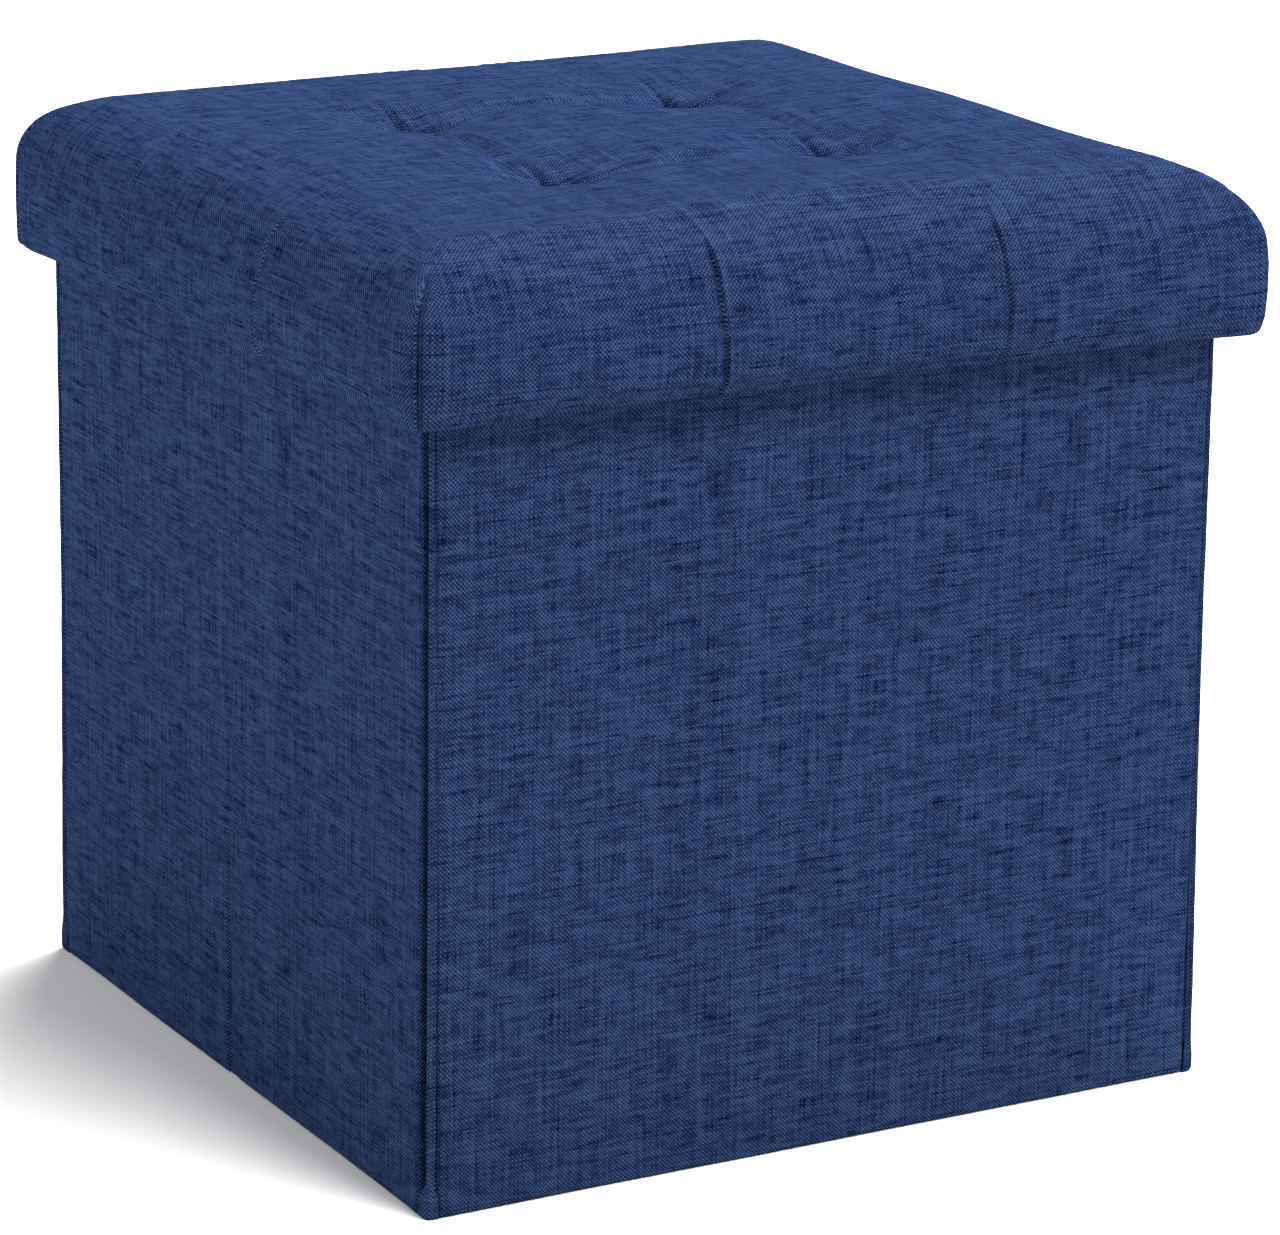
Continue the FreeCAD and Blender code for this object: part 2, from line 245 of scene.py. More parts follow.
class Nodes:
    """A small helper that adds and links the nodes of one material."""

    def __init__(self, name):
        self.material = bpy.data.materials.new(name)
        self.material.use_nodes = True
        self.tree = self.material.node_tree
        self.shader = self.tree.nodes["Principled BSDF"]

    def link(self, source, socket):
        if isinstance(source, bpy.types.NodeSocket):
            self.tree.links.new(source, socket)
        else:
            socket.default_value = source

    def math(self, operation, a, b=0.0):
        node = self.tree.nodes.new("ShaderNodeMath")
        node.operation = operation
        self.link(a, node.inputs[0])
        self.link(b, node.inputs[1])
        return node.outputs[0]

    def times(self, a, b):
        return self.math("MULTIPLY", a, b)

    def plus(self, *values):
        total = values[0]
        for value in values[1:]:
            total = self.math("ADD", total, value)
        return total

    def wave(self, value):
        """The sine of that many half turns."""
        return self.math("SINE", self.times(value, math.pi))

    def vector(self, x, y, z=0.0):
        node = self.tree.nodes.new("ShaderNodeCombineXYZ")
        for value, socket in zip((x, y, z), node.inputs):
            self.link(value, socket)
        return node.outputs[0]

    def cloth(self):
        """The two cloth coordinates, in metres."""
        uv = self.tree.nodes.new("ShaderNodeUVMap")
        uv.uv_map = "cloth"
        split = self.tree.nodes.new("ShaderNodeSeparateXYZ")
        self.link(uv.outputs[0], split.inputs[0])
        return split.outputs[0], split.outputs[1]

    def place(self):
        """The object's own coordinates, in metres."""
        return self.tree.nodes.new("ShaderNodeTexCoord").outputs["Object"]

    def noise(self, vector, scale=1.0, detail=2.0, roughness=0.5):
        node = self.tree.nodes.new("ShaderNodeTexNoise")
        self.link(vector, node.inputs["Vector"])
        node.inputs["Scale"].default_value = scale
        node.inputs["Detail"].default_value = detail
        node.inputs["Roughness"].default_value = roughness
        return node.outputs["Fac"]

    def random(self, vector):
        node = self.tree.nodes.new("ShaderNodeTexWhiteNoise")
        node.noise_dimensions = "3D"
        self.link(vector, node.inputs["Vector"])
        return node.outputs["Value"]

    def ramp(self, factor, stops):
        node = self.tree.nodes.new("ShaderNodeValToRGB")
        self.link(factor, node.inputs[0])
        elements = node.color_ramp.elements
        while len(elements) < len(stops):
            elements.new(0.5)
        for element, (place, colour) in zip(elements, stops):
            element.position = place
            element.color = (*colour, 1.0)
        return node.outputs[0]

    def bump(self, height, strength, distance):
        node = self.tree.nodes.new("ShaderNodeBump")
        node.inputs["Strength"].default_value = strength
        node.inputs["Distance"].default_value = distance
        self.link(height, node.inputs["Height"])
        self.link(node.outputs[0], self.shader.inputs["Normal"])

    def set(self, **values):
        """Plain values on the shader's own sockets. Underscores in a name stand for spaces."""
        for name, value in values.items():
            self.shader.inputs[name.replace("_", " ")].default_value = value


def linen(name, dark, light, pitch=0.92 * MM):
    """Two-tone linen-look cloth: light dots of the upright threads over dark, slubbed level threads."""
    n = Nodes(name)
    u, v = n.cloth()
    wander = n.noise(n.vector(n.times(u, 60.0), n.times(v, 60.0)), detail=1.0)
    across = n.plus(n.math("DIVIDE", u, pitch), n.times(wander, 1.6))
    along = n.plus(n.math("DIVIDE", v, pitch), n.times(wander, 1.2))
    column, row = n.math("FLOOR", across), n.math("FLOOR", along)
    half_column, half_row = n.math("FLOOR", n.times(across, 0.4)), n.math("FLOOR", n.times(along, 0.5))
    check = n.times(n.wave(across), n.wave(along))

    level_slub = n.noise(n.vector(n.times(across, 0.06), n.times(row, 0.83)), detail=1.0)
    upright_slub = n.noise(n.vector(n.times(column, 0.83), n.times(along, 0.03), 4.0), detail=1.0)
    bands = n.noise(n.vector(n.times(u, 45.0), n.times(v, 210.0), 7.0), detail=2.0)
    sources = (
        (level_slub, 2.4),
        (n.random(n.vector(3.0, row)), 0.30),
        (upright_slub, 1.7),
        (n.random(n.vector(column, 9.0)), 0.40),
        (n.random(n.vector(column, row, 2.0)), 0.35),
        (n.random(n.vector(half_column, half_row, 5.0)), 0.45),
        (bands, 1.5),
    )
    uneven = n.plus(*(n.times(n.math("SUBTRACT", value, 0.5), amount) for value, amount in sources))
    dots = n.times(n.math("MAXIMUM", check, 0.0), n.plus(n.times(uneven, 0.7), 0.65))
    gaps = n.times(n.math("MINIMUM", check, 0.0), 0.34)
    tone = n.plus(0.30, n.times(uneven, 0.20), dots, gaps)
    n.link(n.ramp(tone, ((0.0, dark), (1.0, light))), n.shader.inputs["Base Color"])
    n.bump(n.math("ABSOLUTE", check), 0.35, 0.12 * MM)
    n.set(Roughness=0.95, Specular_IOR_Level=0.0)
    return n.material


def felted(name, dark, light, pitch=1.5 * MM):
    """Thin non-woven cloth with a grid of small pressed dots, and fibres between them."""
    n = Nodes(name)
    u, v = n.cloth()
    check = n.times(n.wave(n.math("DIVIDE", u, pitch)), n.wave(n.math("DIVIDE", v, pitch)))
    fibres = n.noise(n.vector(n.times(u, 900.0), n.times(v, 500.0)), detail=4.0)
    cloud = n.noise(n.vector(n.times(u, 30.0), n.times(v, 30.0)), detail=2.0)
    tone = n.plus(n.times(fibres, 0.6), n.times(cloud, 0.4))
    n.link(n.ramp(tone, ((0.30, dark), (0.70, light))), n.shader.inputs["Base Color"])
    n.bump(n.plus(n.times(n.math("ABSOLUTE", check), 0.8), fibres), 0.5, 0.2 * MM)
    n.set(Roughness=0.75, Sheen_Weight=0.1, Specular_IOR_Level=0.35)
    return n.material


def grained(name, dark, light, roughness, stretch=(1.0, 1.0, 1.0), scale=900.0, metallic=0.0):
    """A fine-grained solid such as fibreboard, foam, plastic, thread or wire."""
    n = Nodes(name)
    mapping = n.tree.nodes.new("ShaderNodeMapping")
    mapping.inputs["Scale"].default_value = stretch
    n.link(n.place(), mapping.inputs["Vector"])
    grain = n.noise(mapping.outputs[0], scale=scale, detail=5.0, roughness=0.6)
    n.link(n.ramp(grain, ((0.32, dark), (0.68, light))), n.shader.inputs["Base Color"])
    n.bump(grain, 0.35, 0.2 * MM)
    n.set(Roughness=roughness, Metallic=metallic)
    return n.material


def twill(name, dark, light, pitch=0.9 * MM):
    """Narrow woven tape with a diagonal rib, from the object's own coordinates."""
    n = Nodes(name)
    split = n.tree.nodes.new("ShaderNodeSeparateXYZ")
    n.link(n.place(), split.inputs[0])
    slant = n.math("DIVIDE", n.plus(*(split.outputs[axis] for axis in range(3))), pitch)
    rib = n.math("ABSOLUTE", n.wave(slant))
    fibre = n.noise(n.place(), scale=1400.0, detail=3.0)
    tone = n.plus(n.times(rib, 0.5), n.times(fibre, 0.5))
    n.link(n.ramp(tone, ((0.25, dark), (0.75, light))), n.shader.inputs["Base Color"])
    n.bump(tone, 0.5, 0.25 * MM)
    n.set(Roughness=0.9, Specular_IOR_Level=0.1)
    return n.material


LINEN = linen("linen", (0.0005, 0.0029, 0.0185), (0.0310, 0.0540, 0.120))
LINING = felted("lining", (0.010, 0.010, 0.012), (0.030, 0.030, 0.034))
FIBREBOARD = grained("fibreboard", (0.20, 0.13, 0.07), (0.34, 0.24, 0.14), 0.85, (1.0, 1.0, 0.4))
FOAM = grained("foam", (0.60, 0.57, 0.42), (0.80, 0.77, 0.62), 0.95)
TAPE = twill("hinge_tape", (0.004, 0.010, 0.035), (0.022, 0.042, 0.110))
RIBBON = twill("ribbon", (0.008, 0.008, 0.010), (0.035, 0.035, 0.040), 0.7 * MM)
THREAD = grained("thread", (0.006, 0.014, 0.05), (0.030, 0.055, 0.14), 0.7, (1.0, 1.0, 0.3), 2500.0)
PLASTIC = grained("washer_plastic", (0.60, 0.60, 0.58), (0.68, 0.68, 0.66), 0.45, scale=300.0)
WIRE = grained("staple_wire", (0.42, 0.42, 0.44), (0.62, 0.62, 0.64), 0.35, scale=1500.0, metallic=1.0)


# ---- lid cushion ----

EDGE_ROUND = 27 * MM
CORNER_ROUND = 6 * MM
LID_HALF = LID_HIGH.x
FLAT_HALF = LID_HALF - EDGE_ROUND
TOP_LEVEL = LID_HIGH.z - 1.6 * MM
SKIRT_TOP = TOP_LEVEL - EDGE_ROUND
SKIRT_BOTTOM = LID_LOW.z - 2.1 * MM
PILLOW_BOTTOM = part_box("lid_foam_pad")[0].z + 0.3 * MM
INNER_HALF = LINING_HIGH.x + 0.05 * MM
ROUND_STEPS = 12
MOST_SWELLING = 2.2 * MM

# how far the skirt stands out from its straight outline, at heights from 0 at the hem to 1 at its top
SKIRT_FULLNESS = ((0.0, 0.0), (0.07, 1.0 * MM), (0.2, 2.0 * MM), (0.45, 2.6 * MM), (0.75, 2.7 * MM),
                  (1.0, 2.2 * MM), (1.3, 0.8 * MM), (1.6, 0.0))


def lid_profile(skirt_step):
    """Rings from the flat top's edge down to the hem and up inside: (half size, height, down distance)."""
    rings = []
    for i in range(1, ROUND_STEPS + 1):
        angle = math.pi / 2 * i / ROUND_STEPS
        half = FLAT_HALF + EDGE_ROUND * math.sin(angle)
        rings.append((half, SKIRT_TOP + EDGE_ROUND * math.cos(angle), EDGE_ROUND * angle))
    start = rings[-1][2]
    hem_round = 2.2 * MM
    count = round((SKIRT_TOP - SKIRT_BOTTOM - hem_round) / skirt_step)
    for i in range(1, count + 1):
        drop = (SKIRT_TOP - SKIRT_BOTTOM - hem_round) * i / count
        rings.append((LID_HALF, SKIRT_TOP - drop, start + drop))
    for angle in (30, 60, 90):
        a = math.radians(angle)
        half = LID_HALF - hem_round * (1 - math.cos(a))
        rings.append((half, SKIRT_BOTTOM + hem_round * (1 - math.sin(a)), rings[-1][2] + hem_round * 0.52))
    for half, height in ((195.5 * MM, SKIRT_BOTTOM), (193 * MM, SKIRT_BOTTOM + 0.2 * MM),
                         (INNER_HALF, SKIRT_BOTTOM + 1.2 * MM), (INNER_HALF, SKIRT_BOTTOM + 14 * MM),
                         (INNER_HALF, PILLOW_BOTTOM)):
        before = rings[-1]
        rings.append((half, height, before[2] + math.hypot(half - before[0], height - before[1])))
    return rings


def spread(line, half):
    """Where a grid line sits on a ring of that half size: only the outer part of it moves out."""
    outer = smooth((np.abs(line) - 0.55 * FLAT_HALF) / (0.45 * FLAT_HALF))
    return line + np.sign(line) * (half - FLAT_HALF) * outer


def round_corner(x, y, half, radius):
    """Points on a square of that half size, moved onto the same square with rounded corners."""
    core = half - radius
    cx, cy = np.clip(x, -core, core), np.clip(y, -core, core)
    dx, dy = x - cx, y - cy
    size = np.hypot(dx, dy)
    keep = size < 1e-9
    scale = np.where(keep, 1.0, radius / np.where(keep, 1.0, size))
    moved = (np.abs(x) > core) & (np.abs(y) > core)
    return np.where(moved, cx + dx * scale, x), np.where(moved, cy + dy * scale, y)


def lid_mesh(lines, skirt_step):
    """The lid's outside as one closed grid: points, faces, cloth coordinates and outward directions.

    The last thing that it returns is the ring number of each point, 0 on the flat top.
    """
    count = len(lines)
    points, outward, ring_of = [], [], []
    rings = lid_profile(skirt_step)

    grid_x, grid_y = np.meshgrid(lines, lines, indexing="ij")
    reach = np.maximum(np.abs(grid_x), np.abs(grid_y))
    radius = CORNER_ROUND * (reach / FLAT_HALF) ** 3
    top_x, top_y = round_corner(grid_x, grid_y, np.maximum(reach, 1e-6), radius)
    top = np.stack([top_x, top_y, np.full_like(top_x, TOP_LEVEL)], -1).reshape(-1, 3)
    points.append(top)
    outward.append(np.tile((0.0, 0.0, 1.0), (len(top), 1)))
    ring_of.append(np.zeros(len(top), int))

    loop = grid_rim(count)
    around = len(loop)
    loop_x = np.array([lines[i] for i, j in loop])
    loop_y = np.array([lines[j] for i, j in loop])
    for number, (half, height, down) in enumerate(rings, start=1):
        x, y = spread(loop_x, half), spread(loop_y, half)
        x, y = round_corner(x, y, half, CORNER_ROUND)
        points.append(np.stack([x, y, np.full_like(x, height)], -1))
        core = half - CORNER_ROUND
        side = np.stack([x - np.clip(x, -core, core), y - np.clip(y, -core, core)], -1)
        side /= np.linalg.norm(side, axis=1)[:, None]
        tilt = min(down / (EDGE_ROUND * math.pi / 2), 1.0) * math.pi / 2
        inside = half < LID_HALF - 6 * MM and tilt >= math.pi / 2
        flat = 0.0 if inside else math.sin(tilt)
        outward.append(np.stack([side[:, 0] * flat, side[:, 1] * flat, np.full(around, math.cos(tilt))], -1))
        ring_of.append(np.full(around, number))
    points, outward, ring_of = np.vstack(points), np.vstack(outward), np.concatenate(ring_of)

    faces, uvs = [], []
    for i in range(count - 1):
        for j in range(count - 1):
            corners = ((i, j), (i + 1, j), (i + 1, j + 1), (i, j + 1))
            faces.append([a * count + b for a, b in corners])
            uvs += [(lines[a], lines[b]) for a, b in corners]
    first = count * count
    edge = [i * count + j for i, j in loop]
    downs = [0.0] + [ring[2] for ring in rings]
    halves = [FLAT_HALF] + [ring[0] for ring in rings]
    side_of = np.arange(around) // (count - 1)
    for number in range(len(rings)):
        upper = edge if number == 0 else range(first + (number - 1) * around, first + number * around)
        lower = range(first + number * around, first + (number + 1) * around)
        for k in range(around):
            m = (k + 1) % around
            faces.append([upper[k], lower[k], lower[m], upper[m]])
            for index, level in ((k, number), (k, number + 1), (m, number + 1), (m, number)):
                run = loop_x if side_of[k] in (0, 2) else loop_y
                place = float(spread(run[index], min(halves[level], LID_HALF)))
                sign = -1.0 if side_of[k] in (0, 3) else 1.0
                uvs.append((place, sign * (FLAT_HALF + downs[level])))
    last = first + (len(rings) - 1) * around
    points = np.vstack([points, (0.0, 0.0, PILLOW_BOTTOM)])
    outward = np.vstack([outward, (0.0, 0.0, 0.0)])
    ring_of = np.append(ring_of, len(rings))
    for k in range(around):
        triangle = (last + k, len(points) - 1, last + (k + 1) % around)
        faces.append(triangle)
        uvs += [tuple(points[v][:2]) for v in triangle]
    return points, faces, uvs, outward, ring_of


def tuft_distances(points):
    """Distance from the nearest tuft, and the offsets from it along X and Y."""
    dx = np.abs(points[:, 0]) - TUFT
    dy = np.abs(points[:, 1]) - TUFT
    return np.hypot(dx, dy), dx, dy


# how far the top is pulled down at a tuft, as a sum of bells: (depth, width)
TUFT_SINK = ((6.0 * MM, 20 * MM), (5.0 * MM, 9 * MM), (2.0 * MM, 42 * MM))


def cushion_shape(points, outward):
    """The padded form: crowned between the tufts, pulled down at them, and bulging at the skirt."""
    distance, _, _ = tuft_distances(points)
    on_top = smooth((points[:, 2] - (TOP_LEVEL - 12 * MM)) / (12 * MM))
    sink = sum(depth * bell(distance, width) for depth, width in TUFT_SINK)
    across, along = np.sort(np.abs(points[:, :2]), axis=1).T
    crown = 2.2 * MM * (1 - (along / LID_HALF) ** 2)
    crown += 1.2 * MM * smooth(points[:, 0] / LID_HALF) - 0.6 * MM * smooth(-points[:, 0] / LID_HALF)
    crown += smooth((along - 70 * MM) / (80 * MM)) * (2.6 * MM * bell(across, 85 * MM) - 0.7 * MM)
    points = points + np.outer(on_top * (crown - sink), (0, 0, 1))
    height = np.clip((points[:, 2] - SKIRT_BOTTOM) / (SKIRT_TOP - SKIRT_BOTTOM), 0, 1.6)
    right_or_front = smooth((points[:, 0] - points[:, 1]) / LID_HALF + 0.5)
    fullness = np.interp(height, *zip(*SKIRT_FULLNESS)) * (0.50 + 1.15 * right_or_front)
    points = points + outward * fullness[:, None] * np.linalg.norm(outward[:, :2], axis=1)[:, None]
    from_corner = 2 * LID_HALF - np.abs(points[:, 0]) - np.abs(points[:, 1])
    hangs = 1 - smooth((points[:, 2] - SKIRT_BOTTOM) / (30 * MM))
    droop = 1.5 * MM * bell(np.maximum(from_corner, 0), 40 * MM) * hangs
    return points - np.outer(droop, (0, 0, 1))


def simulate(points, faces, held):
    """Let the cushion swell as cloth under a little pressure, and return how far each point moves."""
    bag = new_object("swelling", points, faces)
    group = bag.vertex_groups.new(name="held")
    for index, weight in enumerate(held):
        if weight > 0:
            group.add([index], float(weight), "REPLACE")
    cloth = bag.modifiers.new("cloth", "CLOTH")
    settings = cloth.settings
    settings.quality = 6
    settings.mass = 0.25
    settings.tension_stiffness = 12
    settings.compression_stiffness = 12
    settings.shear_stiffness = 4
    settings.bending_stiffness = 0.6
    settings.use_pressure = True
    settings.uniform_pressure_force = 3.0
    settings.vertex_group_mass = "held"
    settings.effector_weights.gravity = 0
    scene = bpy.context.scene
    for number in range(1, 21):
        scene.frame_set(number)
    dressed = bag.evaluated_get(bpy.context.evaluated_depsgraph_get())
    moved = np.array([v.co for v in dressed.data.vertices]).reshape(-1, 3)
    scene.frame_set(1)
    bpy.data.objects.remove(bag)
    return moved - points


def capped(move, most):
    """Moves no longer than a limit."""
    size = np.linalg.norm(move, axis=1)
    return move * np.minimum(1.0, most / np.maximum(size, 1e-9))[:, None]


# pleats of the skirt: facing axis, side, the axis that they are spaced along, place and strength
PLEATS = (
    (1, -1, 0, -62.8 * MM, 1.0),
    (1, -1, 0, 67.2 * MM, 1.0),
    (0, -1, 1, -61.0 * MM, 0.35),
    (0, -1, 1, 71.5 * MM, 0.7),
    (1, 1, 0, -66.0 * MM, 0.9),
    (1, 1, 0, 64.0 * MM, 0.8),
    (0, 1, 1, -68.0 * MM, 0.8),
    (0, 1, 1, 63.0 * MM, 0.6),
)


# the sewn corner of the lid: how far the cloth stands in or out, at distances onto the panel whose end
# is tucked under. Seen from outside, that is the left end of each of the four panels.
CORNER_SEAM = ((-6.0 * MM, 0.0), (-2.0 * MM, 0.2 * MM), (-0.5 * MM, 0.1 * MM), (0.3 * MM, -3.3 * MM),
               (1.2 * MM, -3.4 * MM), (2.4 * MM, -2.7 * MM), (3.6 * MM, -3.0 * MM), (4.8 * MM, -2.3 * MM),
               (8.0 * MM, -1.5 * MM), (13.0 * MM, -0.5 * MM), (18.0 * MM, 0.0))


def creases(points, outward, ring_of):
    """Fine sewn detail: folds that run from each tuft, pleats down the skirt and the corner seams."""
    _, dx, dy = tuft_distances(points)
    on_top = ring_of == 0
    depth = np.zeros(len(points))
    for across, along in ((dx, dy), (dy, dx)):
        run = np.abs(along)
        fold = 2.4 * MM * bell(run, 24 * MM) * smooth(run / (4 * MM))
        depth -= np.where(on_top, fold * bell(across, 1.5 * MM), 0)
        depth -= np.where(on_top, 0.9 * MM * bell(run, 36 * MM) * bell(across, 5.5 * MM), 0)
        depth += np.where(on_top, 0.5 * fold * bell(np.abs(across) - 5.0 * MM, 3.0 * MM), 0)

    level = points[:, 2]
    height = np.clip((level - SKIRT_BOTTOM) / (TOP_LEVEL - SKIRT_BOTTOM), 0, 1)
    skirt = (ring_of > 3) & (np.linalg.norm(outward[:, :2], axis=1) > 0.3)
    start = smooth((TOP_LEVEL - 3 * MM - level) / (10 * MM))
    for facing, side, along, place, strength in PLEATS:
        on_side = skirt & (outward[:, facing] * side > 0.3)
        bow = 1.2 * MM * np.sin(height * math.pi) * math.copysign(1, place)
        off = (points[:, along] - place - bow) * math.copysign(1, place)
        tuck = 2.0 * MM * bell(np.maximum(off, 0), 1.8 * MM) * smooth((off + 0.7 * MM) / (0.7 * MM))
        lip = 0.8 * MM * bell(np.minimum(off + 0.7 * MM, 0), 2.6 * MM) * smooth((-off) / (0.6 * MM))
        depth += np.where(on_side, (lip - tuck) * start * strength, 0)
    reach = np.minimum(np.abs(points[:, 0]), np.abs(points[:, 1]))
    turned = np.sign(points[:, 0] * points[:, 1])
    off = (np.abs(points[:, 1]) - np.abs(points[:, 0])) * turned
    near_corner = (reach > FLAT_HALF - 2 * MM) & (ring_of > 0)
    fade = smooth((TOP_LEVEL - 5 * MM - level) / (8 * MM))
    depth += np.where(near_corner, np.interp(off, *zip(*CORNER_SEAM)) * fade, 0)
    return points + outward * depth[:, None]


def lid_lines(step, fine):
    """Grid lines across the lid, closer together at the tufts and at the corners."""
    extra = ((TUFT, 16 * MM, 2.2 * fine), (TUFT, 7.5 * MM, fine), (FLAT_HALF, 7 * MM, 0.6 * fine))
    half = grid_lines(0.0, FLAT_HALF, step, 1.2 * step, extra)
    return np.concatenate([-half[:0:-1], half])


def lid_cushion():
    """The padded lid on a fine grid, with the swelling of a cloth simulation and its sewn detail."""
    points, faces, uvs, outward, ring_of = lid_mesh(lid_lines(2.6 * MM, 0.6 * MM), 2.0 * MM)
    shaped = cushion_shape(points, outward)
    shaped = shaped + swelling(points)
    ripple = cloth_noise(points, 55 * MM, 3) * 0.55 * MM + cloth_noise(points, 18 * MM, 4) * 0.16 * MM
    shaped = creases(shaped + outward * ripple[:, None], outward, ring_of)
    piece = new_object("lid_cushion", shaped, faces, uvs)
    finish_piece(piece, "lid", LINEN, ("lid_cover", "lid_foam_pad", "lid_skirt_wadding"))
    return piece


def swelling(fine_points):
    """How far the cloth simulation moves each point of the fine lid, from the nearest coarse ones."""
    lines = lid_lines(7.0 * MM, 3.5 * MM)
    points, faces, _, outward, ring_of = lid_mesh(lines, 6.0 * MM)
    shaped = cushion_shape(points, outward)
    distance, _, _ = tuft_distances(points)
    held = np.where((ring_of == 0) & (distance < 5 * MM), 1.0, 0.0)
    held[points[:, 2] < SKIRT_BOTTOM + 4 * MM] = 1.0
    held[np.linalg.norm(outward, axis=1) < 0.5] = 1.0
    inside = np.linalg.norm(outward[:, :2], axis=1) < 1e-6
    held[inside & (ring_of > 0)] = 1.0
    move = capped(simulate(shaped, faces, held), MOST_SWELLING)
    tree = kdtree.KDTree(len(points))
    for index, point in enumerate(points):
        tree.insert(point, index)
    tree.balance()
    moves = np.zeros_like(fine_points)
    for index, point in enumerate(fine_points):
        near = tree.find_n(point, 4)
        weights = np.array([1.0 / (d + 0.5 * MM) ** 2 for _, _, d in near])
        moves[index] = weights @ move[[i for _, i, _ in near]] / weights.sum()
    return moves


# ---- walls ----

WALL_FOOT = 0.1 * MM
WALL_ROUND = 1.8 * MM
HEM_LINE = 7.8 * MM
HEM_GRID = ((HEM_LINE, 3 * MM, 0.6 * MM),)
TURN_IN = 12 * MM
TURN_IN_PROUD = 0.5 * MM
CREASE_TUCK = 0.8 * MM
PUFF = 0.35 * MM


def edge_lines(low, high, extra=()):
    """Extra grid lines where the cloth's turned-in border ends, near both ends of a panel."""
    ends = ((low + TURN_IN, 1.6 * MM, 0.5 * MM), (high - TURN_IN, 1.6 * MM, 0.5 * MM))
    return ends + tuple(extra)


def lean(level):
    """How far the outer faces stand out at a height: the box is a little wider at its foot."""
    foot = 1.5 * MM * (1 - smooth(level / (200 * MM)))
    return foot - 0.3 * MM * smooth((level - 120 * MM) / (200 * MM))


def panel_shape(facing, side, low, high, seed):
    """A shape function for a covered panel: it puffs and puckers a little, and has a turned-in border.

    facing is the axis (0 or 1) that the panel's outer face looks along, and side is which way.
    """
    along = 1 - facing

    def shape(points, outward):
        from_end = np.minimum(points[:, along] - low[along], high[along] - points[:, along])
        from_top = high[2] - points[:, 2]
        wave = cloth_noise(points, 75 * MM, seed) * PUFF
        wave += cloth_noise(points, 24 * MM, seed + 1) * PUFF * 0.35
        tall = points * (0.35, 0.35, 1.0)
        pucker = cloth_noise(tall, 7 * MM, seed + 2) * 0.28 * MM * bell(from_end, 11 * MM)
        pinch = 0.45 * MM * bell(points[:, 2] - HEM_LINE, 1.0 * MM)
        puff = np.maximum(wave + pucker, -0.15 * MM) + 0.15 * MM * bell(from_end, 4 * MM)
        moved = points + outward * (puff - pinch)[:, None]
        through = np.clip(1 - (BOX_HALF - side * points[:, facing]) / WALL, 0, 1)
        moved[:, facing] += side * through * lean(points[:, 2])
        inner = outward[:, facing] * side < -0.7
        border = np.minimum(from_end, from_top)
        sunk = TURN_IN_PROUD * smooth((border - TURN_IN) / (0.8 * MM) + 0.5)
        moved[:, facing] += np.where(inner, side * sunk, 0.0)
        return moved

    return shape


def end_cover(word, low, high, side, seed):
    """The cloth over the front or the back wall."""
    low, high = (low.x, low.y, WALL_FOOT), (high.x, high.y, WALL_TOP)
    lines = (edge_lines(low[0], high[0]), (), edge_lines(low[2], high[2], HEM_GRID))
    shape = panel_shape(1, side, low, high, seed)
    piece = soft_slab(f"{word}_wall_cover", low, high, WALL_ROUND, 8 * MM, shape, lines)
    return finish_piece(piece, word, LINEN, (f"{word}_cover",))


def side_cover(word, side, seed):
    """The cloth over both halves of a side wall: one piece, thin along the crease where the side wall folds.
    """
    rear_low, rear_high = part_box(f"{word}_rear_cover")
    front_low, front_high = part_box(f"{word}_front_cover")
    low = (rear_low.x, front_low.y, WALL_FOOT)
    high = (rear_high.x, rear_high.y, WALL_TOP)
    half_width = 2.6 * MM
    panel = panel_shape(0, side, low, high, seed)

    def shape(points, outward):
        moved = panel(points, outward)
        thin = smooth((half_width + 1.0 * MM - np.abs(points[:, 1])) / (1.4 * MM))
        depth = (BOX_HALF - side * points[:, 0]) / WALL
        sheet = side * (BOX_HALF - CLOTH * np.clip(depth, 0, 1))
        moved[:, 0] = moved[:, 0] * (1 - thin) + sheet * thin
        return moved

    crease = ((0.0, 6 * MM, 0.5 * MM),)
    lines = ((), edge_lines(low[1], high[1], crease), edge_lines(low[2], high[2], HEM_GRID))
    piece = soft_slab(f"{word}_wall_cover", low, high, WALL_ROUND, 8 * MM, shape, lines)
    finish_piece(piece, None, LINEN, (f"{word}_rear_cover", f"{word}_front_cover"))
    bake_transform(piece)
    return piece


NOTCH = BOX_HALF - FRONT_HIGH.x
SETBACK = BOX_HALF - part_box("left_rear_cover")[1].y


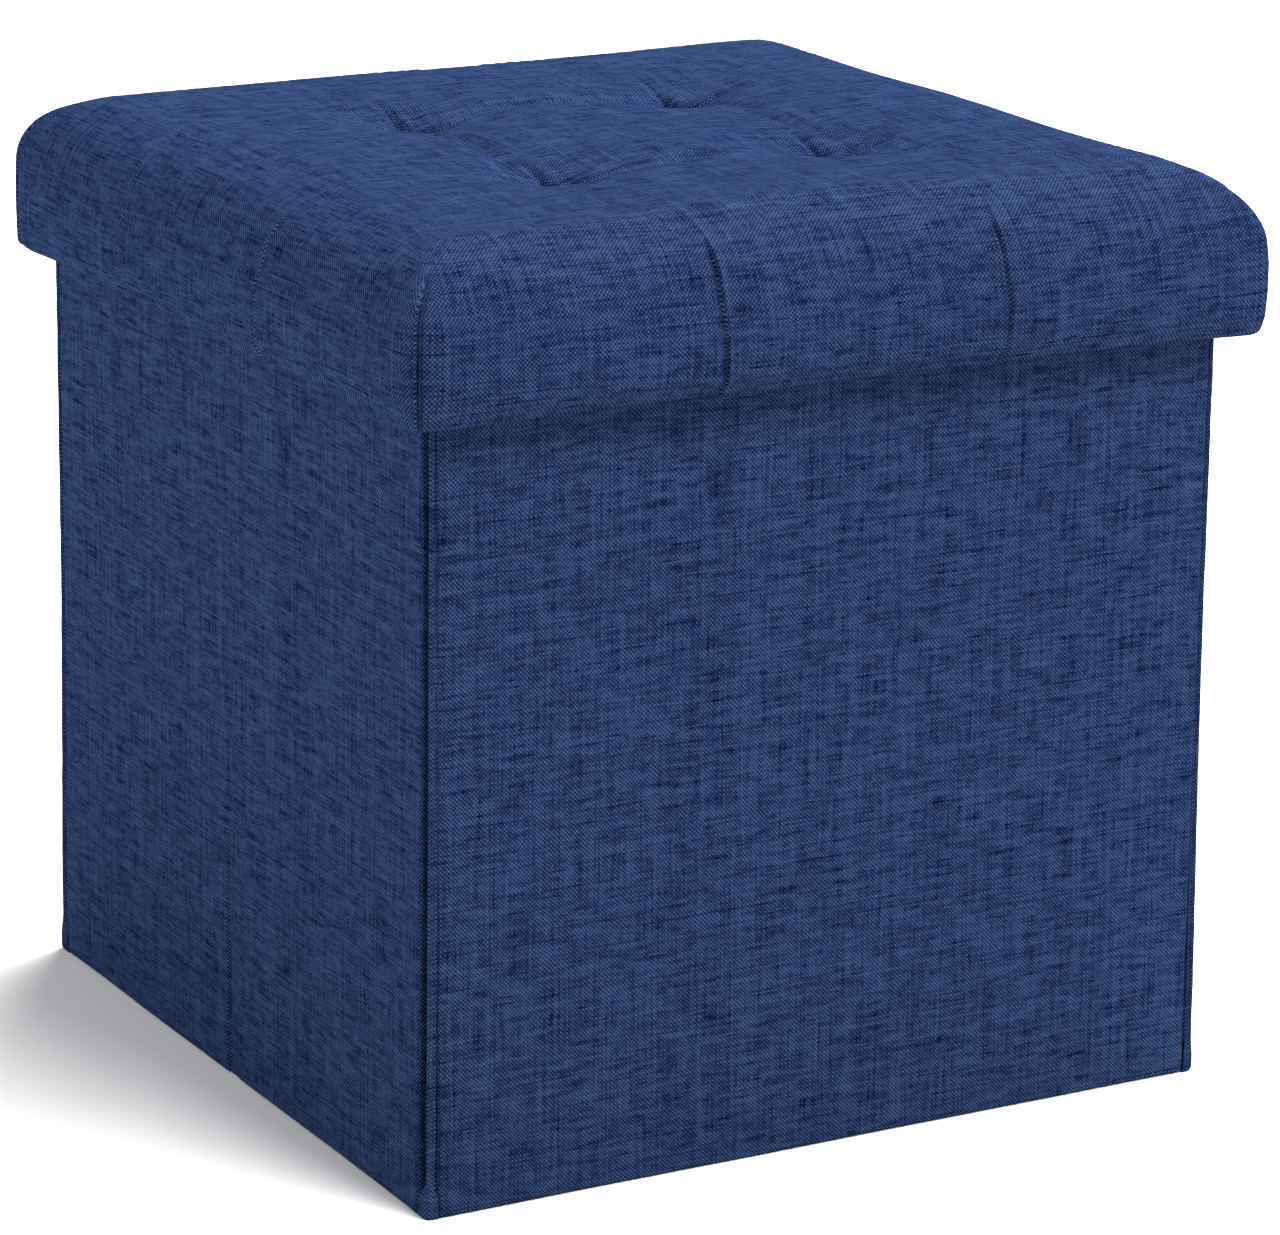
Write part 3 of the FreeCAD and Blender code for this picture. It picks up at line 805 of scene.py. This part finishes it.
def corner_outline(closed):
    """The corner seam in plan, as depths in from the side face and from the end face.

    With closed at 0 it is a rolled seam beside an open groove, and at 1 a plain rounded corner.
    """
    middle, radius = (0.52 * NOTCH, 0.37 * NOTCH), 0.29 * NOTCH
    groove = [(NOTCH * 1.03, 0.15 * NOTCH), (NOTCH * 0.84, 0.32 * NOTCH)]
    for step in range(9):
        angle = math.radians(-20 - 230 * step / 8)
        groove.append((middle[0] + radius * math.cos(angle), middle[1] + radius * math.sin(angle)))
    groove += [(0.72 * NOTCH, 0.52 * SETBACK), (0.90 * NOTCH, 0.70 * SETBACK), (0.94 * NOTCH, 0.95 * SETBACK)]
    turn, proud, overlap = 2.4 * MM, 0.2 * MM, 1.6 * MM
    plain = [(NOTCH + overlap, 0.5 * MM), (NOTCH + 0.6 * overlap, -proud)]
    for step in range(len(groove) - 4):
        angle = math.pi / 2 * step / (len(groove) - 5)
        plain.append((turn - (turn + proud) * math.sin(angle), turn - (turn + proud) * math.cos(angle)))
    plain += [(-proud, SETBACK + 0.6 * overlap), (0.5 * MM, SETBACK + overlap)]
    outline = [
        (u + (plain_u - u) * closed, v + (plain_v - v) * closed)
        for (u, v), (plain_u, plain_v) in zip(groove, plain)
    ]
    return outline + [(NOTCH * 1.1, 0.95 * SETBACK), (NOTCH * 1.1, 0.15 * NOTCH)]


def corner_strip(name, end, side, rows):
    """A closed upright strip at a corner. rows hold a level, and depths in from the side and end faces."""
    verts = []
    for level, outline in rows:
        half = BOX_HALF + float(lean(level))
        verts += [(side * (half - u), end * (half - v), level) for u, v in outline]
    faces = loft(len(rows), len(rows[0][1]))
    if side * end > 0:
        faces = [face[::-1] for face in faces]
    return new_object(name, verts, faces)


def corner_seam(word, end, side_word, side):
    """The sewn corner between two walls: a rolled seam, a groove behind it and a closed foot."""
    rows = []
    for level in (*np.linspace(WALL_FOOT, 20 * MM, 22), *np.linspace(24 * MM, WALL_TOP - 1 * MM, 70)):
        closed = 1 - float(smooth((level - 7 * MM) / (9 * MM)))
        tucked = 1.6 * MM * max(0.0, 1 - (level - WALL_FOOT) / (1.5 * MM)) * 0.4
        wander = 0.16 * MM * noise.noise(Vector((side * 3.1, end * 1.7, level / (9 * MM))))
        outline = [(u + wander + tucked, v + wander + tucked) for u, v in corner_outline(closed)]
        rows.append((level, outline))
    piece = corner_strip(f"{word}_{side_word}_corner_seam", end, side, rows)
    add_box_uvs(piece)
    return finish_piece(piece, word, LINEN)


def corner_shade_gusset(word, end, side_word, side):
    """A strip of dark hinge cloth in the groove behind the rolled corner seam: partly the real hinge cloth
    that shows there, and partly painted shade that darkens the groove.
    """
    depths = ((0.60, 0.45), (0.74, 0.62), (0.80, 0.97), (1.02, 0.97), (1.02, 0.45))
    outline = [(u * NOTCH, v * SETBACK) for u, v in depths]
    rows = [(level, outline) for level in np.linspace(12 * MM, WALL_TOP - 2 * MM, 60)]
    # painted shade: this dark strip stands in the corner groove to darken it where shade falls
    piece = corner_strip(f"{word}_{side_word}_corner_shade_gusset", end, side, rows)
    return finish_piece(piece, word, TAPE)


def add_box_uvs(piece):
    """Cloth coordinates for a mesh that has none, from the way that each face looks."""
    mesh = piece.data
    layer = mesh.uv_layers.new(name="cloth")
    for face in mesh.polygons:
        axis = max(range(3), key=lambda a: abs(face.normal[a]))
        a, b = FLAT_AXES[axis]
        for corner in face.loop_indices:
            co = mesh.vertices[mesh.loops[corner].vertex_index].co
            layer.data[corner].uv = (co[a], co[b])


def liner(name, facing, side, seed):
    """The thin lining on the inner face of one wall panel, tucked under the turned-in border."""
    low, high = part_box(f"{name}_liner")
    low, high = np.array(low), np.array(high)
    tuck = TURN_IN - 3 * MM
    along = 1 - facing
    low[2], high[2] = 1.0 * MM, WALL_TOP - tuck
    low[along] += CREASE_TUCK if low[along] > 0 else tuck
    high[along] -= CREASE_TUCK if high[along] < 0 else tuck
    inner_face = side * (BOX_HALF - WALL)
    near, far = sorted((inner_face - side * 0.25 * MM, inner_face + side * 0.9 * MM))
    low[facing], high[facing] = near, far

    def shape(points, outward):
        wave = cloth_noise(points, 40 * MM, seed) * 0.22 * MM
        border = np.minimum(points[:, along] - low[along], high[along] - points[:, along])
        border = np.minimum(border, high[2] - points[:, 2])
        dive = 0.55 * MM * (1 - smooth((border - 2.0 * MM) / (3 * MM)))
        inner = outward[:, facing] * side < -0.5
        moved = points.copy()
        moved[:, facing] += np.where(inner, side * (dive - wave), 0.0)
        return moved

    piece = soft_slab(f"{name}_lining", low, high, 0.3 * MM, 9 * MM, shape)
    return finish_piece(piece, name, LINING, (f"{name}_liner",))


def stitch_row(start, end, outward, pitch=4.2 * MM, length=3.0 * MM):
    """Separate stitches in a straight row, each dipping into the cloth at both ends."""
    start, end, outward = Vector(start), Vector(end), Vector(outward)
    run = end - start
    ahead = run.normalized()
    shape = ((0.0, -0.30, 0.14), (0.12, 0.0, 0.22), (0.5, 0.16, 0.25), (0.88, 0.0, 0.22), (1.0, -0.30, 0.14))
    stitches = []
    for index in range(int(run.length / pitch)):
        first = start + ahead * (pitch * (index + 0.5) - length / 2)
        centres = [first + ahead * length * along + outward * rise * MM for along, rise, _ in shape]
        stitches.append(tube("stitch", centres, [radius * MM for _, _, radius in shape], 6))
    return stitches


def wall_stitches(word, facing, side, stretch):
    """Stitches along the turned-in border at the top of a wall panel, inside."""
    def place(across, along, z):
        return (across, along, z) if facing == 0 else (along, across, z)

    inner = side * (BOX_HALF - WALL)
    level = WALL_TOP - TURN_IN + 3 * MM
    start, end = (place(inner, along, level) for along in stretch)
    piece = joined(f"{word}_stitches", stitch_row(start, end, place(-side, 0, 0)))
    return finish_piece(piece, word, THREAD)


# ---- base, ribbon, lining of the lid, tuft stitches ----

def base_cover():
    """The cloth round the base panel."""
    def shape(points, outward):
        wave = cloth_noise(points, 60 * MM, 31) * 0.2 * MM * smooth((points[:, 2] - 1.5 * MM) / (2 * MM))
        return points + outward * wave[:, None]

    low = (BASE_LOW.x, BASE_LOW.y, 0.15 * MM)
    piece = soft_slab("base_wrap", low, tuple(BASE_HIGH), 1.8 * MM, 10 * MM, shape)
    return finish_piece(piece, "base", LINING, ("base_cover", "base_liner"))


HINGE_CLOTH = 0.8 * MM
HINGE_BEAD = 1.30 * MM


def corner_hinge(word, end, side_word, side):
    """The sewn cloth hinge inside a corner: a rolled bead on the fold line and a strip on the wall."""
    node = f"{word}_{side_word}_hinge_tape"
    low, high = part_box(node)
    bottom, top = low.z, high.z
    bead_x, bead_y = side * (BOX_HALF - 8 * MM), end * (BOX_HALF - 12.5 * MM)
    wall_y = end * (BOX_HALF - WALL)
    sewn_y = wall_y - end * HINGE_CLOTH
    levels = np.linspace(bottom, top, 60)
    radii = [HINGE_BEAD + 0.12 * MM * noise.noise(Vector((side, end, z / (6 * MM)))) for z in levels]
    parts = [tube("bead", [(bead_x, bead_y, z) for z in levels], radii)]
    near, far = sorted((bead_y, wall_y))
    web_low, web_high = (bead_x - HINGE_CLOTH / 2, near, bottom), (bead_x + HINGE_CLOTH / 2, far, top)
    parts.append(soft_slab("web", web_low, web_high, 0.3 * MM, 6 * MM))
    left, right = sorted((bead_x, side * (BOX_HALF - 30 * MM)))
    near, far = sorted((wall_y, sewn_y))
    parts.append(soft_slab("strip", (left, near, bottom), (right, far, top), 0.35 * MM, 6 * MM))
    row_x = side * (BOX_HALF - 27 * MM)
    parts += stitch_row((row_x, sewn_y, bottom + 2 * MM), (row_x, sewn_y, top - 2 * MM), (0, -end, 0))
    piece = joined(f"{word}_{side_word}_corner_hinge", parts)
    return finish_piece(piece, word, TAPE, (node,))


def crease_border(word, side, half, turn):
    """The cloth turned in over the board's end of one half of a side wall, at the crease."""
    across = sorted((side * (BOX_HALF - WALL - 0.2 * MM), side * (BOX_HALF - 1.2 * MM)))
    along = sorted((turn * 1.1 * MM, turn * 4.2 * MM))
    low = (across[0], along[0], WALL_FOOT + 0.5 * MM)
    high = (across[1], along[1], WALL_TOP - 0.1 * MM)
    piece = soft_slab(f"{word}_{half}_crease_border", low, high, 0.4 * MM, 8 * MM)
    return finish_piece(piece, f"{word}_{half}", LINEN)


def crease_seam(word, side):
    """The rolled seam in the gap between the two halves of a side wall."""
    low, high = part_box(f"{word}_crease_tape")
    levels = np.linspace(low.z, high.z, 60)
    depth = BOX_HALF - 2.2 * MM
    centres = [(side * depth, 0.1 * MM * math.sin(z / (7 * MM)), z) for z in levels]
    piece = tube(f"{word}_crease_seam", centres, [0.95 * MM] * len(levels))
    return finish_piece(piece, f"{word}_rear", TAPE, (f"{word}_crease_tape",))


def base_hinge():
    """The cloth hinge along the rear edge of the base, sewn to the back wall."""
    low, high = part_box("base_hinge_tape")
    axis_y, axis_z = BOX_HALF - 11 * MM, BASE_HIGH.z / 2
    wall_y = BOX_HALF - WALL
    sewn_y = wall_y - HINGE_CLOTH
    foot = axis_z - HINGE_CLOTH / 2
    places = np.linspace(low.x, high.x, 60)
    radii = [HINGE_BEAD + 0.12 * MM * noise.noise(Vector((x / (6 * MM), 2.0, 5.0))) for x in places]
    parts = [tube("bead", [(x, axis_y, axis_z) for x in places], radii)]
    web_high = (high.x, wall_y, axis_z + HINGE_CLOTH / 2)
    parts.append(soft_slab("web", (low.x, axis_y, foot), web_high, 0.3 * MM, 6 * MM))
    parts.append(soft_slab("strip", (low.x, sewn_y, foot), (high.x, wall_y, high.z), 0.35 * MM, 6 * MM))
    row_z = high.z - 3 * MM
    parts += stitch_row((low.x + 2 * MM, sewn_y, row_z), (high.x - 2 * MM, sewn_y, row_z), (0, -1, 0))
    return finish_piece(joined("base_hinge", parts), "back", TAPE, ("base_hinge_tape",))


def base_stitches():
    """Stitches round the base, near its edge."""
    inset = 7 * MM
    left, right = BASE_LOW.x + inset, BASE_HIGH.x - inset
    near, far = BASE_LOW.y + inset, BASE_HIGH.y - inset
    level = BASE_HIGH.z
    corners = [(left, near, level), (right, near, level), (right, far, level), (left, far, level)]
    rows = []
    for start, end in zip(corners, corners[1:] + corners[:1]):
        rows += stitch_row(start, end, (0, 0, 1))
    piece = joined("base_stitches", rows)
    return finish_piece(piece, "base", THREAD)


def pull_ribbon():
    """The ribbon loop that lifts the base, lying flat near its front edge."""
    low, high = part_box("base_pull_tab")

    def shape(points, outward):
        along = np.clip((points[:, 1] - low.y) / (high.y - low.y), 0, 1)
        up = smooth((points[:, 2] - low.z) / (high.z - low.z))
        return points + np.outer(0.7 * MM * np.sin(along * math.pi) * up, (0, 0, 1))

    piece = soft_slab("pull_ribbon", tuple(low), tuple(high), 0.5 * MM, 2 * MM, shape)
    return finish_piece(piece, "base", RIBBON, ("base_pull_tab",))


def lid_lining():
    """The lining inside the lid: a shallow tray that hangs a little slack under the board."""
    half = LINING_HIGH.x - 0.4 * MM
    ceiling = LINING_HIGH.z - 0.4 * MM
    bottom = LINING_LOW.z + 0.4 * MM
    lines = grid_lines(-half, half, 8 * MM, 3 * MM)
    count = len(lines)
    verts, faces, uvs = [], [], []
    for x in lines:
        for y in lines:
            slack = smooth((172 * MM - max(abs(x), abs(y))) / (20 * MM))
            sag = 1.2 * MM * slack * (0.5 + noise.noise(Vector((x, y, 0)) / (50 * MM)))
            verts.append((x, y, ceiling - max(sag, 0)))
    for i in range(count - 1):
        for j in range(count - 1):
            corners = ((i, j), (i, j + 1), (i + 1, j + 1), (i + 1, j))
            faces.append([a * count + b for a, b in corners])
            uvs += [(lines[a], lines[b]) for a, b in corners]
    loop = grid_rim(count)
    upper = [i * count + j for i, j in loop]
    for level in np.linspace(ceiling, bottom, 6)[1:]:
        lower = list(range(len(verts), len(verts) + len(loop)))
        verts += [(lines[i], lines[j], level) for i, j in loop]
        for k in range(len(loop)):
            m = (k + 1) % len(loop)
            face = [upper[k], upper[m], lower[m], lower[k]]
            faces.append(face)
            uvs += [(verts[v][0] + verts[v][1], verts[v][2]) for v in face]
        upper = lower
    sheet = new_object("lid_lining_cloth", verts, faces, uvs)
    thicken = sheet.modifiers.new("thickness", "SOLIDIFY")
    thicken.thickness = 0.6 * MM
    thicken.offset = 0.0
    apply_modifiers(sheet)
    return finish_piece(sheet, "lid", LINING, ("lid_lining",))


def apply_modifiers(piece):
    """Bake a piece's modifiers into its mesh."""
    dressed = piece.evaluated_get(bpy.context.evaluated_depsgraph_get())
    mesh = bpy.data.meshes.new_from_object(dressed)
    piece.modifiers.clear()
    piece.data = mesh
    piece.data.shade_smooth()


def tuft_stitches(cushion):
    """Two crossed stitches at the bottom of each tuft."""
    surface = cushion.data.vertices
    coordinates = np.array([v.co for v in surface]).reshape(-1, 3)
    radii = [0.5 * MM, 0.55 * MM, 0.55 * MM, 0.55 * MM, 0.5 * MM]
    parts = []
    for sx in (-1, 1):
        for sy in (-1, 1):
            near = np.hypot(coordinates[:, 0] - sx * TUFT, coordinates[:, 1] - sy * TUFT) < 3.5 * MM
            floor = coordinates[near & (coordinates[:, 2] > SKIRT_TOP)][:, 2].min()
            for turn in (0.6, 0.6 + math.pi / 2):
                centres = []
                for along in (-1.0, -0.6, 0.0, 0.6, 1.0):
                    x = sx * TUFT + 3.0 * MM * along * math.cos(turn)
                    y = sy * TUFT + 3.0 * MM * along * math.sin(turn)
                    centres.append((x, y, floor + (0.7 - 0.9 * along * along) * MM))
                parts.append(tube("stitch", centres, radii, 8))
    piece = joined("tuft_stitches", parts)
    return finish_piece(piece, "lid", THREAD, ("tuft_threads",))


# ---- the CAD nodes that stay, the stage, the lights and the camera ----

def dress_cad_nodes():
    """Procedural materials for the CAD pieces that stay in view."""
    finishes = {
        "wall_board": FIBREBOARD,
        "foam": FOAM,
        "hinge_tape": TAPE,
        "thread": THREAD,
        "washer_plastic": PLASTIC,
        "staple_wire": WIRE,
        "lining_fabric": LINING,
        "cover_fabric": LINEN,
        "ribbon": RIBBON,
    }
    for subpart in frame["record"]["subparts"]:
        mesh = frame["nodes"][subpart["node"]].data
        mesh.materials.clear()
        mesh.materials.append(finishes[subpart["material_slot"]])


def make_stage():
    """A plain pale floor."""
    reach = 14.0
    corners = [(-reach, -reach, 0), (reach, -reach, 0), (reach, reach, 0), (-reach, reach, 0)]
    floor = new_object("floor", corners, [(0, 1, 2, 3)])
    n = Nodes("pale_floor")
    n.shader.inputs["Base Color"].default_value = (0.72, 0.72, 0.72, 1.0)
    n.set(Roughness=0.9, Specular_IOR_Level=0.1)
    floor.data.materials.append(n.material)


def make_lights():
    """Even studio light: two broad soft suns, from above in front and above on the right, and soft lamps."""
    world = bpy.data.worlds.new("studio")
    bpy.context.scene.world = world
    world.use_nodes = True
    background = world.node_tree.nodes["Background"]
    background.inputs[0].default_value = (1.0, 1.0, 1.0, 1.0)
    background.inputs[1].default_value = 0.45
    add_sun("front_sun", (0.25, -0.62, 0.80), 24.0, 4.7)
    add_sun("right_sun", (0.62, 0.30, 0.85), 40.0, 5.0)
    add_lamp("overhead", (0.9, 0.3, 1.4), (0.0, 0.0, 0.4), 0.9, 22.0)
    add_lamp("right_front", (1.25, -1.35, 0.75), (0.1, -0.1, 0.2), 0.9, 12.0)
    add_lamp("left_fill", (-2.2, 0.4, 0.6), (0.0, 0.0, 0.2), 1.4, 48.0)


def add_sun(name, toward, angle, strength):
    """A sun in a direction from the object, as wide as an angle in degrees, for soft shadows."""
    lamp = bpy.data.lights.new(name, "SUN")
    lamp.angle = math.radians(angle)
    lamp.energy = strength
    holder = bpy.data.objects.new(name, lamp)
    holder.location = Vector(toward) * 3
    holder.rotation_euler = (-Vector(toward)).to_track_quat("-Z", "Y").to_euler()
    bpy.context.scene.collection.objects.link(holder)


def add_lamp(name, place, target, size, power):
    """A square soft lamp that points at a target."""
    lamp = bpy.data.lights.new(name, "AREA")
    lamp.size = size
    lamp.energy = power
    holder = bpy.data.objects.new(name, lamp)
    holder.location = place
    holder.rotation_euler = (Vector(target) - Vector(place)).to_track_quat("-Z", "Y").to_euler()
    holder.visible_camera = False
    bpy.context.scene.collection.objects.link(holder)


CAMERA_PLACE = (-1.0917, -1.9765, 0.8231)
CAMERA_TURN = 29.20
CAMERA_DIP = 15.84
CAMERA_ROLL = 0.66
CAMERA_LENS = 149.8


def make_camera():
    """A long lens from the front left, looking a little down."""
    turn, dip, roll = (math.radians(a) for a in (CAMERA_TURN, CAMERA_DIP, CAMERA_ROLL))
    ahead = Vector((math.sin(turn) * math.cos(dip), math.cos(turn) * math.cos(dip), -math.sin(dip)))
    level = Vector((math.cos(turn), -math.sin(turn), 0))
    upright = level.cross(ahead)
    right = level * math.cos(roll) + upright * math.sin(roll)
    up = upright * math.cos(roll) - level * math.sin(roll)
    camera = bpy.data.objects.new("camera", bpy.data.cameras.new("camera"))
    camera.matrix_world = Matrix.Translation(CAMERA_PLACE) @ Matrix((right, up, -ahead)).transposed().to_4x4()
    camera.data.lens = CAMERA_LENS
    camera.data.sensor_width = 36
    camera.data.clip_end = 60
    bpy.context.scene.collection.objects.link(camera)
    bpy.context.scene.camera = camera


# ---- the object ----

bpy.context.scene.view_settings.view_transform = "Standard"
make_camera()
make_lights()
make_stage()
dress_cad_nodes()

cushion = lid_cushion()
tuft_stitches(cushion)
lid_lining()

REACH = FRONT_HIGH.x - 5 * MM
for seed, (word, end, low, high) in enumerate((
        ("front", -1, FRONT_LOW, FRONT_HIGH),
        ("back", 1, BACK_LOW, BACK_HIGH))):
    end_cover(word, low, high, end, 11 + 4 * seed)
    liner(word, 1, end, 40 + seed)
    wall_stitches(word, 1, end, (-REACH, REACH))
    for side_word, side in SIDES.items():
        corner_seam(word, end, side_word, side)
        corner_shade_gusset(word, end, side_word, side)
        corner_hinge(word, end, side_word, side)
for seed, (word, side) in enumerate(SIDES.items()):
    side_cover(word, side, 21 + 4 * seed)
    crease_seam(word, side)
    crease_border(word, side, "rear", 1)
    crease_border(word, side, "front", -1)
    for half, end in (("rear", 1), ("front", -1)):
        liner(f"{word}_{half}", 0, side, 44 + 2 * seed + end)
        ends = sorted((end * 5 * MM, end * (BOX_HALF - SETBACK - 3 * MM)))
        wall_stitches(f"{word}_{half}", 0, side, ends)
base_cover()
base_stitches()
base_hinge()
pull_ribbon()
